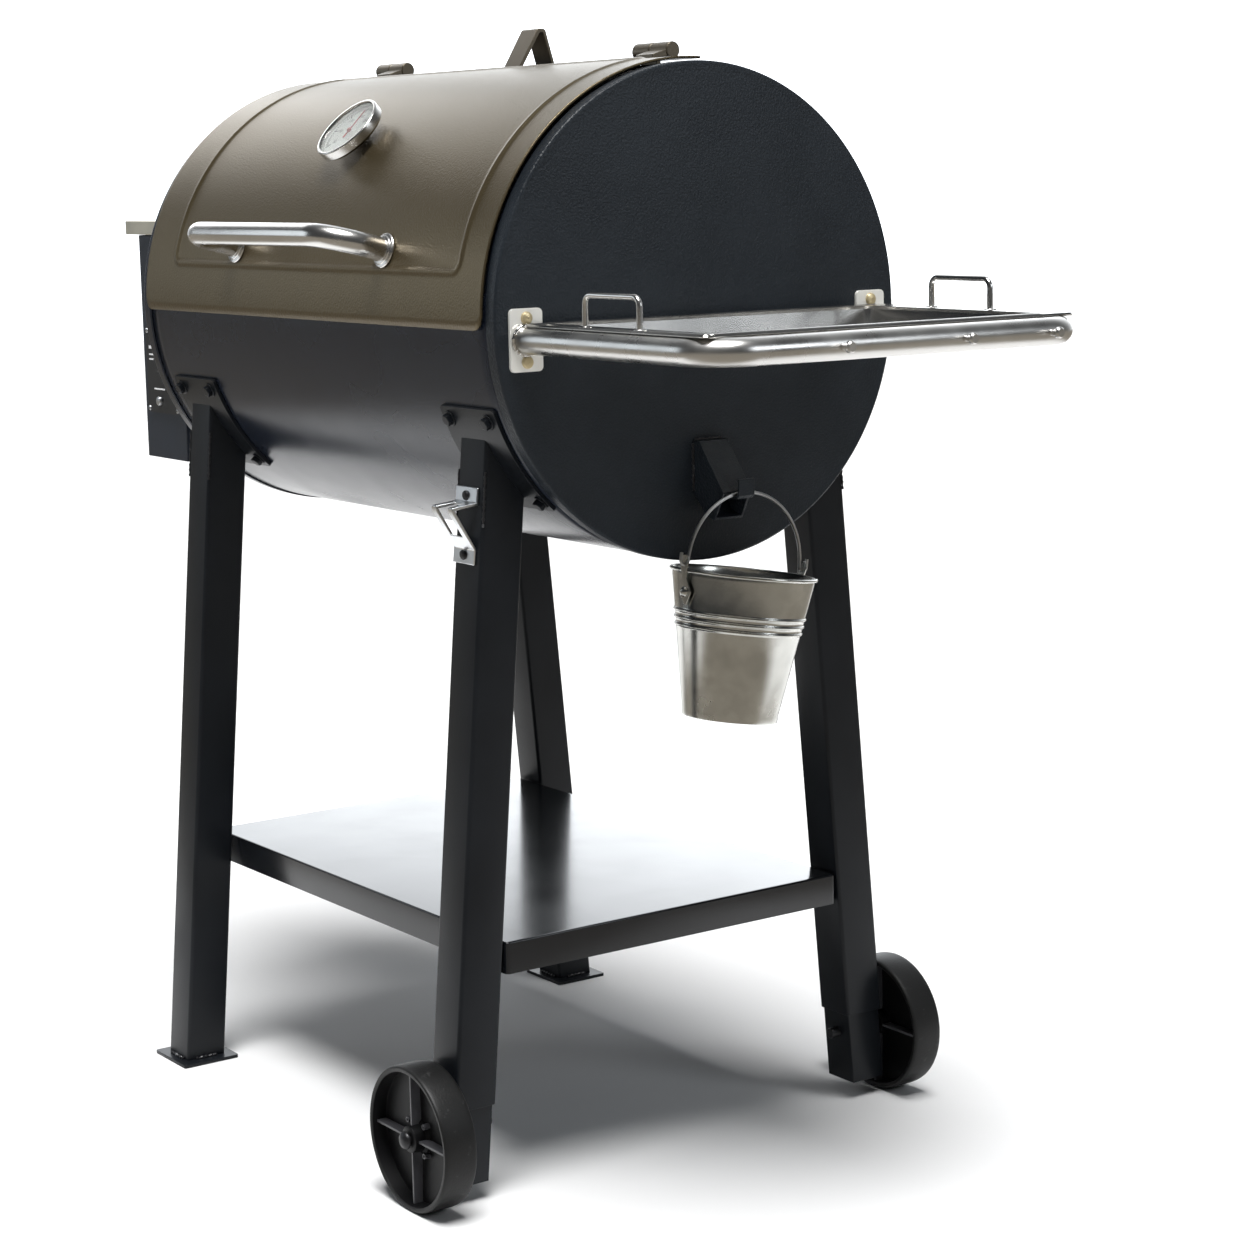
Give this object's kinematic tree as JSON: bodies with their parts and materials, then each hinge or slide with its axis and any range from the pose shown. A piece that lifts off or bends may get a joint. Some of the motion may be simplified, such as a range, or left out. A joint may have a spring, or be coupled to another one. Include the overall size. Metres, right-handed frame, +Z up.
{
  "type": "pellet smoker grill",
  "caption": "Barrel pellet smoker on splayed legs, with lift-up lid, pellet hopper and auger, side rail with tray, lower shelf, grease bucket and wheels at one end.",
  "frame": {"origin": "centre of the whole grill's footprint, on the ground", "axes": "+X along the barrel towards the side rail, -Y towards the cook and the lid handle, +Z up"},
  "size_m": [1.3156, 0.678, 1.212],
  "materials": {
    "black_paint": "textured black powder coat",
    "blue_black_paint": "satin blue-black high-heat paint",
    "bronze_paint": "fine hammertone bronze metallic paint",
    "grey_paint": "satin dark grey powder coat",
    "stainless": "polished stainless steel",
    "galvanised": "bright galvanised sheet",
    "steel": "plain zinc-plated steel",
    "enamel": "black porcelain enamel",
    "plastic": "black moulded plastic",
    "glass": "clear dial glass",
    "red_paint": "red pointer paint"
  },
  "bodies": {
    "frame": {"barrel_shell": "blue_black_paint", "left_end_cap": "blue_black_paint", "right_end_cap": "black_paint", "rear_exhaust_hood": "black_paint", "leg_front_left": "black_paint", "leg_front_right": "black_paint", "leg_back_left": "black_paint", "leg_back_right": "black_paint", "bottom_shelf": "black_paint", "wheel_sleeve_front": "black_paint", "wheel_sleeve_back": "black_paint", "grease_chute": "black_paint", "hinge_barrel_knuckle_left": "bronze_paint", "hinge_barrel_knuckle_right": "bronze_paint", "side_rail": "stainless", "stub_axle_front": "steel", "stub_axle_back": "steel", "hopper_lid_hinge": "steel", "hopper_safety_grate": "steel", "hopper_funnel": "steel", "auger_tube": "steel", "burner_duct": "steel", "auger_motor": "steel", "igniter_rod": "steel", "grate_ledge_front": "steel", "grate_ledge_back": "steel", "temperature_probe": "steel", "bottle_opener": "galvanised", "control_panel": "plastic", "power_inlet": "plastic", "fan_housing": "plastic", "hopper_shell": "grey_paint", "fire_pot": "enamel", "heat_deflector": "enamel", "drip_pan": "enamel"},
    "lid": {"lid": "bronze_paint", "lid_handle": "stainless", "thermometer_case": "stainless", "thermometer_glass": "glass", "hinge_lid_knuckle_left": "bronze_paint", "hinge_lid_knuckle_right": "bronze_paint", "lid_stop_strap": "bronze_paint"},
    "thermometer_needle": {"thermometer_needle": "red_paint"},
    "serving_tray": {"serving_tray": "stainless", "tray_handle_front": "stainless", "tray_handle_back": "stainless"},
    "bail": {"bucket_bail": "steel"},
    "bucket": {"grease_bucket": "galvanised"},
    "wheel_front": {"wheel_front": "plastic"},
    "wheel_back": {"wheel_back": "plastic"},
    "feed_knob": {"feed_knob": "plastic"},
    "power_button": {"power_button": "steel"},
    "hopper_lid": {"hopper_lid": "bronze_paint"},
    "auger": {"auger": "steel"},
    "fan_impeller": {"fan_impeller": "plastic"},
    "cooking_grate": {"cooking_grate": "enamel"},
    "warming_rack": {"warming_rack": "steel"}
  },
  "joints": [
    {"name": "lid_hinge", "type": "hinge", "parent": "frame", "child": "lid", "pos_m": [-0.06575, 0.03, 1.178], "axis": [-1, 0, 0], "range_deg": [0, 120]},
    {"name": "thermometer_needle_turn", "type": "hinge", "parent": "lid", "child": "thermometer_needle", "pos_m": [-0.05175, -0.19375, 1.10375], "axis": [0, -0.7071, 0.7071], "range_deg": [-135, 135]},
    {"name": "serving_tray_lift", "type": "slide", "parent": "frame", "child": "serving_tray", "axis": [0, 0, 1], "range_m": [0, 0.08]},
    {"name": "bail_swing", "type": "hinge", "parent": "frame", "child": "bail", "pos_m": [0.37605, 0.005, 0.7304], "axis": [0, -1, 0], "range_deg": [0, 30]},
    {"name": "bucket_swing", "type": "hinge", "parent": "bail", "child": "bucket", "pos_m": [0.37605, 0.00611, 0.65592], "axis": [0, -0.9903, 0.1392], "range_deg": [-2, 30]},
    {"name": "wheel_front_spin", "type": "hinge", "parent": "frame", "child": "wheel_front", "pos_m": [0.23475, -0.313, 0.077], "axis": [0, 1, 0], "continuous": true},
    {"name": "wheel_back_spin", "type": "hinge", "parent": "frame", "child": "wheel_back", "pos_m": [0.23475, 0.313, 0.077], "axis": [0, 1, 0], "continuous": true},
    {"name": "feed_knob_turn", "type": "hinge", "parent": "frame", "child": "feed_knob", "pos_m": [-0.56775, -0.175, 0.83], "axis": [0, -1, 0], "range_deg": [0, 270]},
    {"name": "power_button_press", "type": "slide", "parent": "frame", "child": "power_button", "axis": [0, 1, 0], "range_m": [0, 0.0025], "stiffness_N_per_m": 400},
    {"name": "hopper_lid_hinge_turn", "type": "hinge", "parent": "frame", "child": "hopper_lid", "pos_m": [-0.55575, 0.17, 0.992], "axis": [-1, 0, 0], "range_deg": [0, 100]},
    {"name": "auger_turn", "type": "hinge", "parent": "frame", "child": "auger", "pos_m": [-0.36575, 0, 0.76], "axis": [1, 0, 0], "continuous": true},
    {"name": "fan_spin", "type": "hinge", "parent": "frame", "child": "fan_impeller", "pos_m": [-0.60575, 0.1, 0.756], "axis": [1, 0, 0], "continuous": true},
    {"name": "cooking_grate_lift", "type": "slide", "parent": "frame", "child": "cooking_grate", "axis": [0, 0, 1], "range_m": [0, 0.03]},
    {"name": "warming_rack_lift", "type": "slide", "parent": "cooking_grate", "child": "warming_rack", "axis": [0, 0, 1], "range_m": [0, 0.02]}
  ]
}
